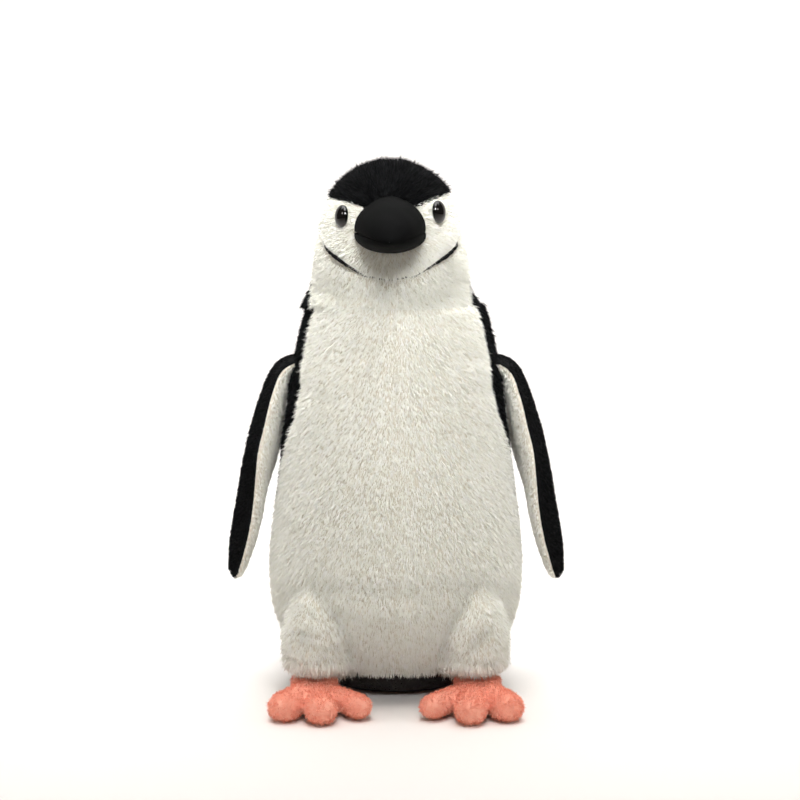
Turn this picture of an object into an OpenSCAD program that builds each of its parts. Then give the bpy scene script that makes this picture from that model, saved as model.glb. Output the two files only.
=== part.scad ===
// Plush chinstrap penguin, standing, facing -Y. Millimetres, +Z up.
// The origin is on the floor under the middle of the toy. The toy's own left is +X.
// Every pattern piece is a skin panel on one of a few smooth surfaces, with its filling behind it.

/* [Torso] */
// Height of the neck seam above the floor
torso_h = 219; // [200:1:235]
// Half of the torso's greatest width
torso_side = 72; // [68:1:74]
// Greatest reach of the belly in front of the middle
torso_front = 64; // [58:1:68]
// Greatest reach of the back behind the middle
torso_back = 55; // [50:1:58]
// Height of the seam between the belly panels and the base panel
base_seam_h = 16; // [10:1:18]
// Height of the top of the pellet bag
pellet_h = 32; // [26:1:60]

/* [Head] */
// Height of the head above the neck seam
head_h = 80.5; // [76:0.5:86]
// Half of the head's width at the neck seam
head_side = 49.5; // [47:0.5:50]
// Greatest reach of the muzzle in front of the middle
head_front = 46; // [43:0.5:49]
// Greatest reach of the back of the head
head_back = 45; // [42:0.5:47]
// How far the head turns each way, in degrees
head_turn = 25; // [0:1:40]

/* [Beak and eyes] */
// Half of the beak's width where it is sewn on
beak_side = 19.5; // [15:0.5:20]
// Height of the beak where it is sewn on
beak_h = 29; // [24:0.5:31]
// Distance of the beak's tip in front of the middle
beak_reach = 79; // [70:1:86]
// Height of the mouth line at the beak's root
mouth_h = 261; // [254:0.5:263]
// Diameter of the safety eyes
eye_d = 12; // [9:0.5:13]
// Height of the eyes above the floor
eye_h = 269; // [264:1:271]
// How far the head sits off the middle, towards the toy's right
head_shift = 3; // [0:0.5:4]

/* [Flippers] */
// Thickness of the flipper at its middle
flipper_t = 14; // [10:0.5:15]
// Width of the flipper at its middle
flipper_c = 46; // [38:1:50]
// How far the flipper's tip is turned in at the front, in degrees
flipper_yaw = 11; // [0:1:14]
// How far the flipper's rear edge bends towards the body, near its root
flipper_bend = 5; // [0:0.5:6]

/* [Feet and tail] */
// Sideways distance of the ankle from the middle
ankle_x = 45; // [43:0.5:47]
// Distance of the ankle in front of the middle
ankle_y = 45; // [44:0.5:48]
// Length of the middle toe from the ankle
toe_l = 43; // [40:0.5:46]
// Height of the toes
toe_h = 13; // [10:0.5:14]
// Distance of the tail's tip behind the middle
tail_reach = 87.5; // [80:0.1:95]
// Half of the tail's width at its root
tail_side = 18; // [14:0.5:20]

/* [Fabric] */
// Thickness of a panel, with its pile
skin = 2.6; // [2:0.1:3]
// Gap left between panels at a seam
seam = 0.3; // [0.2:0.05:0.5]
// Gap between a panel and the filling behind it
ease = 0.6; // [0.4:0.1:1]

/* [Hidden] */

white = "#eeeee2";
black = "#17181b";
beak_black = "#1b1d1c";
coral = "#f7a990";
fill_white = "#f4f4f4";
nylon = "#c9ccd0";

neck_gap = 0.5;          // the head turns on this gap
front = -90;             // angle of the front centre line, from +X
rear = 90;               // angle of the back centre line
thin = 1.7;              // thickness of the short-pile panels on flippers, beak, feet and tail

// Rows: share of the height, of the half width, of the front reach and of the back reach.
torso_rows = [
    [0, 0.42, 0.31, 0.53], [0.014, 0.56, 0.45, 0.69], [0.046, 0.695, 0.59, 0.82],
    [0.091, 0.812, 0.72, 0.91], [0.151, 0.903, 0.845, 0.97], [0.228, 0.972, 0.953, 1],
    [0.329, 1, 1, 1], [0.434, 0.976, 0.977, 0.99], [0.548, 0.93, 0.922, 0.973],
    [0.685, 0.879, 0.852, 0.945], [0.822, 0.823, 0.781, 0.9], [0.913, 0.764, 0.727, 0.864],
    [0.968, 0.722, 0.688, 0.836], [1, 0.69, 0.664, 0.818]
];
head_rows = [
    [0, 1, 0.913, 1], [0.106, 0.91, 0.891, 0.978], [0.255, 0.88, 0.935, 0.967],
    [0.379, 0.844, 0.989, 0.956], [0.503, 0.812, 1.01, 0.944], [0.627, 0.764, 0.978, 0.922],
    [0.739, 0.707, 0.87, 0.856], [0.839, 0.606, 0.707, 0.733], [0.925, 0.434, 0.489, 0.522],
    [0.981, 0.222, 0.25, 0.267], [1, 0.012, 0.013, 0.013]
];
// Height, then the angle where the white belly meets the black back.
side_seam = [[0, 25], [60, 20], [100, 10], [130, 2], [147, -10], [157, -19], [172, -24], [206, -22], [219, -24]];
// Height, then the angle where the white throat and face meet the black nape.
nape_seam = [[219, -24], [227, -8], [238, 11], [255, 18], [300, 18]];
// Angle from the front, then the height where the crown meets the white face.
crown_seam = [[0, 272], [20, 275], [42, 279], [70, 280.5], [110, 281.5], [180, 281.5]];
// Angle from the front, then the height of the chin strap.
strap_line = [[0, 235], [20, 237.5], [39, 246], [58, 252], [75, 257.5], [97, 263], [108, 266]];
strap_w = 1.8;

// Flipper rows: X and Z of the spine, shares of thickness, width and turn, the shift in Y, the share of the bend.
flipper_rows = [
    [61.6, 186.4, 0.06, 0.5, 0, 3, 0], [61.9, 185.9, 0.3, 0.57, 0, 3, 0],
    [63.3, 183, 0.55, 0.66, 0, 3, 0], [66.3, 177, 0.68, 0.8, 0, 2, 0.15], [69.3, 167.5, 0.82, 0.9, 0, 1, 0.5],
    [72.4, 155, 0.93, 0.97, 0, 1, 0.9], [76.2, 140, 1, 1, 0, 1, 1], [80, 122, 1, 1, -0.4, 2, 0.8],
    [83.6, 104, 0.98, 0.96, -0.8, 3, 0.4], [87, 88, 0.9, 0.87, -1, 4, 0.1], [90, 74.5, 0.76, 0.7, -1, 5, 0],
    [92, 65, 0.54, 0.46, -1, 6, 0], [93, 60.5, 0.05, 0.06, -1, 6.5, 0]
];

// Toes: direction from straight ahead, share of the length, spread in degrees.
toes = [[-39, 0.86, 17], [-7, 1, 15.5], [25, 0.9, 17]];
foot_angles = [for (a = [-168 : 14 : -70]) a, for (a = [-64 : 4 : 52]) a, for (a = [60 : 13 : 177]) a];
ankle_r = 8;             // the ankle is round about its hinge line
ankle_z = 12;
web_r = 32;              // reach of the web between the toes
sole_t = 1.7;
tail_r = 6.5;            // the tail's root is round about its hinge line
tail_root = [56.8, 17];  // Y and Z of that hinge line
stem_r = 1.9;            // of a safety eye's stem
stem_l = 11;
cloth = 1;               // the pellet bag's cloth
leg_h = 64;              // where the leg runs out into the belly
leg_rows = [
    [0, 9.2], [0.03, 12.5], [0.09, 16], [0.2, 18], [0.38, 18.3], [0.6, 16.8], [0.8, 13.6], [0.95, 9], [1, 7]
];

function clamp(x, lo, hi) = min(max(x, lo), hi);
function mix(a, b, t) = a + (b - a) * t;
function unit(v) = v / norm(v);
function shrink(v, inset) = max(v - inset, 0.35 * v);

// Catmull-Rom through the rows of a table, at a position counted in rows.
function at(table, s) =
    let (n = len(table) - 1, i = clamp(floor(s), 0, n - 1), t = s - i,
         b = table[i], c = table[i + 1],
         a = i > 0 ? table[i - 1] : 2 * b - c, d = i < n - 1 ? table[i + 2] : 2 * c - b)
    b + 0.5 * t * (c - a + t * (2 * a - 5 * b + 4 * c - d + t * (3 * (b - c) + d - a)));
// The second column of a table where its first column is x.
function value_at(table, x, i = 0) =
    i >= len(table) - 2 || x < table[i + 1][0]
    ? let (t = clamp((x - table[i][0]) / (table[i + 1][0] - table[i][0]), 0, 1))
      table[i][1] + (table[i + 1][1] - table[i][1]) * t
    : value_at(table, x, i + 1);
// The row position where a table's first column reaches x, by halving.
function row_of(table, x, lo, hi, n = 20) =
    n == 0 ? (lo + hi) / 2
    : let (mid = (lo + hi) / 2)
      at(table, mid)[0] < x ? row_of(table, x, mid, hi, n - 1) : row_of(table, x, lo, mid, n - 1);

// A section that is an ellipse with its own depth in front and behind.
function ring(side, fore, aft, a) = [side * cos(a), (sin(a) < 0 ? fore : aft) * sin(a)];
torso = function (s, a)
    let (r = at(torso_rows, s), p = ring(r[1] * torso_side, r[2] * torso_front, r[3] * torso_back, a))
    [p.x, p.y, r[0] * torso_h];
neck_z = torso_h + neck_gap;
head = function (s, a)
    let (r = at(head_rows, s), p = ring(r[1] * head_side, r[2] * head_front, r[3] * head_back, a))
    [p.x, p.y, neck_z + r[0] * head_h];
torso_top = len(torso_rows) - 1;
head_top = len(head_rows) - 1;
function torso_row(z) = row_of(torso_rows, z / torso_h, 0, torso_top);
function head_row(z) = row_of(head_rows, (z - neck_z) / head_h, 0, head_top);

// The outward direction of a surface, and a point that far under it.
function outward(form, s, a) =
    let (e = 0.02) unit(cross(form(s, a + 1) - form(s, a - 1), form(s + e, a) - form(s - e, a)));
function under(form, s, a, depth) = form(s, a) - depth * outward(form, s, a);
function under_head(s, a, depth) =
    let (p = under(head, s, a, depth)) [p.x, p.y, max(p.z, neck_z)];
function from_front(a) = let (t = abs(a - front) % 360) t > 180 ? 360 - t : t;
function seam_angle(radius) = asin(seam / 2 / radius);

// Triangles of a grid of rows, seen from outside; a closed grid's rows are loops of n points.
function grid_faces(rows, n, closed, start) = [
    for (i = [0 : rows - 1], j = [0 : n - (closed ? 1 : 2)])
        let (a = start + i * n + j, b = start + i * n + (j + 1) % n, c = b + n, d = a + n)
        each [[a, c, b], [a, d, c]]
];
function fan(start, n, centre) = [for (j = [0 : n - 1]) [centre, start + (j + 1) % n, start + j]];
function turned(faces, on = true) = on ? [for (f = faces) [f[2], f[1], f[0]]] : faces;
function middle(points, n) = [for (k = [len(points) - n : len(points) - 1]) 1] * [for (k = [len(points) - n : len(points) - 1]) points[k]] / n;

// A panel with an edge all round. outer and inner give a corner at shares i and j of its height and width.
module sheet(outer, inner, rows, cols) {
    n = cols + 1;
    m = (rows + 1) * n;
    points = concat([for (i = [0 : rows], j = [0 : cols]) outer(i / rows, j / cols)],
                    [for (i = [0 : rows], j = [0 : cols]) inner(i / rows, j / cols)]);
    rim = concat([for (j = [0 : cols - 1]) [j, j + 1]],
                 [for (i = [0 : rows - 1]) [i * n + cols, (i + 1) * n + cols]],
                 [for (j = [cols : -1 : 1]) [rows * n + j, rows * n + j - 1]],
                 [for (i = [rows : -1 : 1]) [i * n, (i - 1) * n]]);
    walls = [for (r = rim) each [[r[0], r[1], r[1] + m], [r[0], r[1] + m, r[0] + m]]];
    polyhedron(points, concat(grid_faces(rows, n, false, 0), walls,
                              turned(grid_faces(rows, n, false, m))));
}

// A bowl with a rim at share 0 and closed at share 1. down says that it opens upwards.
module dome(outer, inner, rows, cols, down = false) {
    m = (rows + 1) * cols;
    skin_out = [for (i = [0 : rows], j = [0 : cols - 1]) outer(i / rows, j / cols)];
    skin_in = [for (i = [0 : rows], j = [0 : cols - 1]) inner(i / rows, j / cols)];
    last = rows * cols;
    lip = [for (j = [0 : cols - 1]) let (b = (j + 1) % cols) each [[j, b, b + m], [j, b + m, j + m]]];
    polyhedron(concat(skin_out, skin_in, [middle(skin_out, cols), middle(skin_in, cols)]),
        turned(concat(grid_faces(rows, cols, true, 0), fan(last, cols, 2 * m), lip,
               turned(grid_faces(rows, cols, true, m)), turned(fan(m + last, cols, 2 * m + 1))), down));
}

// A closed filling. place gives a point at shares i and j of its length and girth.
module filled(place, rows, cols) {
    m = (rows + 1) * cols;
    low = [for (j = [cols - 1 : -1 : 0]) place(0, j / cols)];
    points = [for (i = [0 : rows], j = [0 : cols - 1]) place(i / rows, j / cols)];
    polyhedron(concat(points, [middle(low, cols), middle(points, cols)]),
        concat(grid_faces(rows, cols, true, 0), fan(rows * cols, cols, m + 1), turned(fan(0, cols, m))));
}

module mirrored(on) {
    if (on) mirror([1, 0, 0]) children();
    else children();
}

// ---- torso ----
torso_low = torso_row(base_seam_h + seam);
torso_gap = seam_angle(torso_side);
module torso_panel(from, to) {
    function corner(i, j, depth) =
        let (s = mix(torso_low, torso_top, i), z = torso(s, 0).z)
        under(torso, s, mix(from(z), to(z), j), depth);
    sheet(function (i, j) corner(i, j, 0), function (i, j) corner(i, j, skin), 15, 9);
}
module belly_panel(right) {
    color(white) mirrored(right)
        torso_panel(function (z) front + torso_gap, function (z) value_at(side_seam, z) - torso_gap);
}
module back_panel(right) {
    color(black) mirrored(right)
        torso_panel(function (z) value_at(side_seam, z) + torso_gap, function (z) rear - torso_gap);
}
// The toy stands on the flat middle of this bowl.
module base_panel() {
    high = torso_row(base_seam_h);
    function corner(i, j, depth) =
        let (p = under(torso, high * (1 - i), 360 * j, depth))
        [p.x, p.y, i == 1 ? depth : max(p.z, depth)];
    color(black) dome(function (i, j) corner(i, j, 0), function (i, j) corner(i, j, skin), 4, 40, true);
}
module torso_stuffing() {
    low = torso_row(pellet_h + 2);
    color(fill_white) filled(function (i, j)
        let (p = under(torso, mix(low, torso_top, i), 360 * j, skin + ease)) [p.x, p.y, max(p.z, pellet_h + 1)],
        11, 30);
}

// The pellet bag is a sewn cloth cup with a cover, full of plastic pellets.
bag_low = skin + 1.6;
function bag_point(depth, low, high, i, j) =
    let (z = mix(low, high, i), p = torso(torso_row(max(0, z - 6 * exp(-z / 12))), 360 * j),
         k = 1 - (4.2 + depth) / norm([p.x, p.y]))
    [p.x * k, p.y * k, z];
module pellet_bag() {
    color(nylon) dome(function (i, j) bag_point(0.6, bag_low, pellet_h - cloth, 1 - i, j),
                      function (i, j) bag_point(0.6 + cloth, bag_low + cloth, pellet_h - cloth, 1 - i, j),
                      6, 30, true);
}
module pellet_bag_cover() {
    color(nylon) filled(function (i, j) bag_point(0.6, pellet_h - cloth + 0.05, pellet_h, i, j), 1, 30);
}
module pellet_fill() {
    color("#d8d8d2") filled(function (i, j)
        bag_point(0.9 + cloth, bag_low + cloth + 0.3, pellet_h - cloth - 0.3, i, j), 6, 30);
}

// A leg swells out of the belly's lower corner; its edges stop at the belly's surface.
leg_low = ankle_z + ankle_r + 0.7;
leg_way = -45;           // the way a leg faces, as an angle from +X
function leg_point(t, a, inset) =
    let (r = value_at(leg_rows, t) - inset)
    [ankle_x - 1.5 * t + r * cos(a), -ankle_y + 3 + 0.8 * r * sin(a), mix(leg_low, leg_h, t)];
function clear_share(p, gap) =
    let (r = at(torso_rows, torso_row(p.z)))
    norm([p.x / (r[1] * torso_side + gap), p.y / (r[2] * torso_front + gap)]);
function leg_edge(t, way, inset, gap, lo = 0, hi = 175, n = 14) =
    let (mid = (lo + hi) / 2, out = clear_share(leg_point(t, leg_way + way * mid, inset), gap) > 1)
    n == 0 ? mid : out ? leg_edge(t, way, inset, gap, mid, hi, n - 1)
                       : leg_edge(t, way, inset, gap, lo, mid, n - 1);
function leg_arc(t, j, inset, gap) =
    leg_point(t, leg_way + mix(-leg_edge(t, -1, inset, gap), leg_edge(t, 1, inset, gap), j), inset);
module leg_cuff(right) {
    color(white) mirrored(right)
        sheet(function (i, j) leg_arc(0.94 * i, j, 0, ease), function (i, j) leg_arc(0.94 * i, j, thin, ease), 8, 18);
}
module leg_stuffing(right) {
    inset = thin + 3.2 * ease;
    function corner(t, j) =
        j <= 0.5 ? leg_arc(t, 2 * j, inset, 2 * ease)
        : let (p = mix(leg_arc(t, 1, inset, 2 * ease), leg_arc(t, 0, inset, 2 * ease), 2 * j - 1),
               q = clear_share(p, 2 * ease))
          [p.x / q, p.y / q, p.z];
    color(fill_white) mirrored(right) filled(function (i, j) corner(mix(0.04, 0.82, i), j), 6, 24);
}
module care_label() {
    s = torso_row(46);
    p = torso(s, rear);
    color("#fafafa") translate([-0.4, p.y + 0.5, p.z - 8]) cube([0.8, 13, 16]);
}

// ---- head ----
module on_neck() { translate([-head_shift, 0, 0]) children(); }
function crown_z(a) = value_at(crown_seam, from_front(a));
function strap_z(a) = value_at(strap_line, from_front(a));
module crown_panel() {
    function corner(i, j, depth) =
        let (a = front + 360 * j) under_head(mix(head_row(crown_z(a) + seam / 2), head_top, i), a, depth);
    color(black) on_neck() dome(function (i, j) corner(i, j, 0), function (i, j) corner(i, j, skin), 6, 36);
}
module nape_panel() {
    function corner(i, j, depth) =
        let (rough = mix(-5, 185, j), z = mix(neck_z, crown_z(rough) - seam / 2, i), edge = value_at(nape_seam, z) + 0.25)
        under_head(head_row(z), mix(edge, 180 - edge, j), depth);
    color(black) on_neck() sheet(function (i, j) corner(i, j, 0), function (i, j) corner(i, j, skin), 10, 18);
}
eye_a = -47;             // where an eye sits round the head, from +X
eye_s = head_row(eye_h);
eye_p = head(eye_s, eye_a);
eye_n = outward(head, eye_s, eye_a);
module at_eye(depth) {
    translate(eye_p - depth * eye_n)
        rotate([0, acos(eye_n.z), atan2(eye_n.y, eye_n.x)]) children();
}
module face_panel(right) {
    function corner(i, j, depth) =
        let (a = mix(front + 0.25, 18 - 0.25, j), low = strap_z(a) + strap_w / 2 + seam / 2)
        under_head(head_row(mix(low, crown_z(a) - seam / 2, i)), a, depth);
    color(white) on_neck() mirrored(right) difference() {
        sheet(function (i, j) corner(i, j, 0), function (i, j) corner(i, j, skin), 9, 14);
        at_eye(skin + 3) cylinder(h = skin + 6, r = stem_r + 0.1, $fn = 48);
    }
}
// The throat's top edge follows the strap, and its ends follow the nape.
module throat_panel() {
    function half(z) = 90 + value_at(nape_seam, z) - 0.25;
    function top(f, z, n = 4) = n == 0 ? z : top(f, value_at(strap_line, abs(f) * half(z)), n - 1);
    function corner(i, j, depth) =
        let (f = 2 * j - 1, z = mix(neck_z, top(f, 250) - strap_w / 2 - 2 * seam, i))
        under_head(head_row(z), front + f * half(z), depth);
    color(white) on_neck() sheet(function (i, j) corner(i, j, 0), function (i, j) corner(i, j, skin), 8, 28);
}
module chin_strap() {
    function corner(i, j, depth) =
        let (a = mix(-197.7, 17.7, j)) under_head(head_row(strap_z(a) + strap_w * (i - 0.5)), a, depth);
    color(black) on_neck() sheet(function (i, j) corner(i, j, -0.6), function (i, j) corner(i, j, skin - 0.6), 1, 44);
}
module head_stuffing() {
    color(fill_white) on_neck() difference() {
        filled(function (i, j) under_head(mix(0, head_top - 0.6, i), 360 * j, skin + ease), 11, 30);
        for (right = [false, true]) mirrored(right) {
            at_eye(skin + 2.6) cylinder(h = 8, r = 8, $fn = 48);
            at_eye(stem_l + 2) cylinder(h = 14, r = stem_r + 0.6, $fn = 48);
        }
    }
}
module eye(right) {
    color("#0b0b0c") on_neck() mirrored(right) at_eye(-0.1) rotate_extrude($fn = 64) polygon(concat(
        [[0, -stem_l], [stem_r - 0.4, -stem_l], [stem_r, -stem_l + 1], [stem_r, 0]],
        [for (t = [0 : 10 : 90]) [eye_d / 2 * cos(t), 0.4 + 4.4 * sin(t)]]));
}
module eye_washer(right) {
    color("#e8e8e8") on_neck() mirrored(right) at_eye(skin + 2.1) difference() {
        cylinder(h = 1.2, r = 7, $fn = 64);
        translate([0, 0, -1]) cylinder(h = 4, r = stem_r + 0.05, $fn = 48);
    }
}

// ---- beak ----
function face_reach(x, z) =
    let (r = at(head_rows, head_row(z)), c = clamp(x / (r[1] * head_side), -0.98, 0.98))
    r[2] * head_front * sqrt(1 - c * c);
function beak_ring(u, a, inset) =
    let (taper = pow(1 - pow(u, 1.3), 0.6), up = shrink(beak_h * 0.62, inset), down = shrink(beak_h * 0.38, inset))
    [(beak_side - inset) * taper * cos(a),
     mouth_h - 3 * u * u + (sin(a) > 0 ? up : down) * taper * sin(a)];
function beak_point(u, a, inset) =
    let (root = beak_ring(0, a, inset), p = beak_ring(u, a, inset),
         reach = face_reach(root.x, root.y) + ease, tip = beak_reach - 1.6 * inset)
    [p.x, -mix(reach, tip, u), p.y];
module beak_half(lower) {
    lift = lower ? -seam / 2 : seam / 2;
    function corner(i, j, inset) =
        let (p = beak_point(0.9995 * pow(i, 0.8), (lower ? 180 : 0) + 180 * j, inset)) [p.x, p.y, p.z + lift];
    color(beak_black) on_neck() sheet(function (i, j) corner(i, j, 0), function (i, j) corner(i, j, thin), 10, 14);
}
module beak_stuffing() {
    color(fill_white) on_neck() filled(function (i, j)
        beak_point(mix(0.17, 0.93, i), 360 * j, thin + 0.6), 8, 22);
}

// ---- flippers ----
fins = len(flipper_rows) - 1;
function flipper_point(s, a, inset) =
    let (r = at(flipper_rows, s), q = at(flipper_rows, s + 0.05), p = at(flipper_rows, s - 0.05),
         run = unit([q[0] - p[0], 0, q[1] - p[1]]), turn = flipper_yaw * r[4],
         chord = [-sin(turn), cos(turn), 0], out = unit(cross(run, chord)),
         wide = shrink(flipper_c * r[3] / 2, inset), thick = shrink(flipper_t * r[2] / 2, inset))
    [r[0], r[5], r[1]] + chord * cos(a) * wide + out * (sin(a) * thick - flipper_bend * r[6] * pow(max(cos(a), 0), 2));
module flipper_panel(right, inward) {
    start = inward ? 180 : 0;
    gap = 0.8;
    color(inward ? white : black) mirrored(right) sheet(
        function (i, j) flipper_point(mix(0, fins, i), start + mix(gap, 180 - gap, j), 0),
        function (i, j) flipper_point(mix(0.6, fins - 0.5, i), start + mix(2, 178, j), thin), 18, 10);
}
module flipper_stuffing(right) {
    color(fill_white) mirrored(right) filled(function (i, j)
        flipper_point(mix(3.6, fins - 0.9, i), 360 * j, thin + 0.45), 12, 18);
}

// ---- feet ----
function toe_reach(a) =
    max(max([for (t = toes) t[1] * toe_l * exp(-pow((a - t[0]) / t[2], 4))]), abs(a + 7) < 46 ? web_r : 0, 13);
function reach(a) = let (near = [for (d = [-4 : 2 : 4]) toe_reach(a + d)]) near * [1, 2, 2, 2, 1] / 8;
function foot_angle(j) = foot_angles[round(j * len(foot_angles))];
function foot_point(t, a, inset) =
    let (share = 1 - t, r = (reach(a) - inset) * share, dome = sqrt(max(0, 1 - pow(share, 5))),
         ankle = (ankle_z + ankle_r - toe_h) * exp(-pow(r / 9, 2)))
    [ankle_x + r * sin(a), -ankle_y - r * cos(a), sole_t + 0.25 + (toe_h + ankle - sole_t - 0.25 - inset) * dome];
module foot_top(right) {
    color(coral) mirrored(right) dome(
        function (i, j) foot_point(1 - pow(1 - i, 0.6) * (1 - 0.02 * i), foot_angle(j), 0),
        function (i, j) foot_point(1 - pow(1 - i, 0.6) * (1 - 0.02 * i), foot_angle(j), thin),
        6, len(foot_angles));
}
module foot_sole(right) {
    function corner(i, j) =
        let (a = foot_angle(j), r = reach(a)) [ankle_x + r * sin(a), -ankle_y - r * cos(a), sole_t * i];
    color(coral) mirrored(right) filled(function (i, j) corner(i, j), 1, len(foot_angles));
}
module foot_stuffing(right) {
    function corner(i, j) =
        let (p = foot_point(1 - (1 - 0.9 * i), foot_angle(j), thin + 0.5)) [p.x, p.y, max(p.z - 0.1, sole_t + 0.3)];
    color(fill_white) mirrored(right) filled(function (i, j) corner(i, j), 4, len(foot_angles));
}

// ---- tail ----
function tail_point(u, a, inset) =
    let (l = tail_reach - tail_root.x, y = tail_root.x + l * u, taper = 1 - pow(max(u, 0), 2.6),
         round = u < 0 ? sqrt(max(0.0004, 1 - pow(u * l / tail_r, 2))) : taper * (1 - 0.45 * u),
         wide = shrink(tail_side * (1 - 0.55 * max(u, 0)) * taper, inset), thick = shrink(tail_r * round, inset))
    [-wide * cos(a), y, tail_root.y - 11 * max(u, 0) + thick * sin(a)];
tail_back = -tail_r / (tail_reach - tail_root.x);
module tail_panel(below) {
    start = below ? 180 : 0;
    ends = [tail_back, 0.75 * tail_back, 0.4 * tail_back, 0, 0.25, 0.5, 0.7, 0.85, 0.94, 0.99, 0.9995];
    inner_ends = [0.5 * tail_back, 0.35 * tail_back, 0.2 * tail_back, 0, 0.24, 0.47, 0.65, 0.78, 0.87, 0.92, 0.95];
    color(black) sheet(
        function (i, j) tail_point(ends[round(10 * i)], start + mix(1, 179, j), 0),
        function (i, j) tail_point(inner_ends[round(10 * i)], start + mix(3, 177, j), thin), 10, 10);
}
module tail_stuffing() {
    color(fill_white) filled(function (i, j) tail_point(mix(0.3 * tail_back, 0.85, i), 360 * j, thin + 0.45), 8, 18);
}

belly_panel(false);  // left_belly_panel
belly_panel(true);  // right_belly_panel
back_panel(false);  // left_back_panel
back_panel(true);  // right_back_panel
base_panel();
torso_stuffing();
pellet_bag();
pellet_bag_cover();
pellet_fill();
leg_cuff(false);  // left_leg_cuff
leg_cuff(true);  // right_leg_cuff
leg_stuffing(false);  // left_leg_stuffing
leg_stuffing(true);  // right_leg_stuffing
care_label();
crown_panel();
nape_panel();
face_panel(false);  // left_face_panel
face_panel(true);  // right_face_panel
throat_panel();
chin_strap();
beak_half(false);  // upper_beak
beak_half(true);  // lower_beak
beak_stuffing();
head_stuffing();
eye(false);  // left_eye
eye(true);  // right_eye
eye_washer(false);  // left_eye_washer
eye_washer(true);  // right_eye_washer
flipper_panel(false, false);  // left_flipper_outer
flipper_panel(false, true);  // left_flipper_inner
flipper_stuffing(false);  // left_flipper_stuffing
flipper_panel(true, false);  // right_flipper_outer
flipper_panel(true, true);  // right_flipper_inner
flipper_stuffing(true);  // right_flipper_stuffing
foot_top(false);  // left_foot_top
foot_sole(false);  // left_foot_sole
foot_stuffing(false);  // left_foot_stuffing
foot_top(true);  // right_foot_top
foot_sole(true);  // right_foot_sole
foot_stuffing(true);  // right_foot_stuffing
tail_panel(false);  // tail_top
tail_panel(true);  // tail_underside
tail_stuffing();
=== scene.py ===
import bisect
import bmesh
import bpy
import math
import random
from mathutils import Matrix, Vector, noise
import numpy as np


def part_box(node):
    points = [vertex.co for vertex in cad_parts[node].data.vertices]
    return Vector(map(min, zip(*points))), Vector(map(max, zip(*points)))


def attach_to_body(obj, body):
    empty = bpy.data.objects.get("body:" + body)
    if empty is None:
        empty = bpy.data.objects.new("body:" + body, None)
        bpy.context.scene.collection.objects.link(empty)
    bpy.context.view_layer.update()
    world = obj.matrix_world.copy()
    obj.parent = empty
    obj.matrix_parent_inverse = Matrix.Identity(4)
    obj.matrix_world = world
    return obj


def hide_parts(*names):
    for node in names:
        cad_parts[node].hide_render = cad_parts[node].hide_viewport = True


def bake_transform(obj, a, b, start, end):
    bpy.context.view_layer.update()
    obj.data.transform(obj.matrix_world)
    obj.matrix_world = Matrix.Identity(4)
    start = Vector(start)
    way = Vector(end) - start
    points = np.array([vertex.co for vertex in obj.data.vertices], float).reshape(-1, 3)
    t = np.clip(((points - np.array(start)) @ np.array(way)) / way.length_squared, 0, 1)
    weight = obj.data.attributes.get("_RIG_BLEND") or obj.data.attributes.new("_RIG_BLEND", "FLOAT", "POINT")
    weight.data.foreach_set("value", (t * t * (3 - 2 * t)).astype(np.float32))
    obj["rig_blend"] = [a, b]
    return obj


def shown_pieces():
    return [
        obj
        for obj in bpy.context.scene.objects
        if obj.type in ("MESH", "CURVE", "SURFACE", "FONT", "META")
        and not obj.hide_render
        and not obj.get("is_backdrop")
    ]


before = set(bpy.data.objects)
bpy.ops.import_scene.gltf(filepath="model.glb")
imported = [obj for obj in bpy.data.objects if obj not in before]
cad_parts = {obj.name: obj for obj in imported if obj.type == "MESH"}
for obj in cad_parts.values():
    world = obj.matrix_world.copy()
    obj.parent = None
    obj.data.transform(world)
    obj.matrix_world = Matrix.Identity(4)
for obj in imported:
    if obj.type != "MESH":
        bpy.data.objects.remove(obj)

scene = bpy.context.scene
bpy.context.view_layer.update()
mm = 0.001
sideSign = {"left": 1, "right": -1}  # the toy faces -Y, so its own left is +X


def srgb(code):  # an sRGB hex colour as linear RGBA
    parts = [int(code[i:i + 2], 16) / 255 for i in (1, 3, 5)]
    return [p / 12.92 if p <= 0.04045 else ((p + 0.055) / 1.055) ** 2.4 for p in parts] + [1.0]


def addNode(tree, kind, settings=None, links=None):  # settings and links are by name or socket number
    made = tree.nodes.new(kind)
    for key, value in (settings or {}).items():
        if isinstance(key, str) and hasattr(made, key):
            setattr(made, key, value)
        else:
            made.inputs[key].default_value = value
    for key, (other, socket) in (links or {}).items():
        tree.links.new(other.outputs[socket], made.inputs[key])
    return made


def newMaterial(name):
    made = bpy.data.materials.new(name)
    made.use_nodes = True
    made.node_tree.nodes.clear()
    return made, made.node_tree


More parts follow.
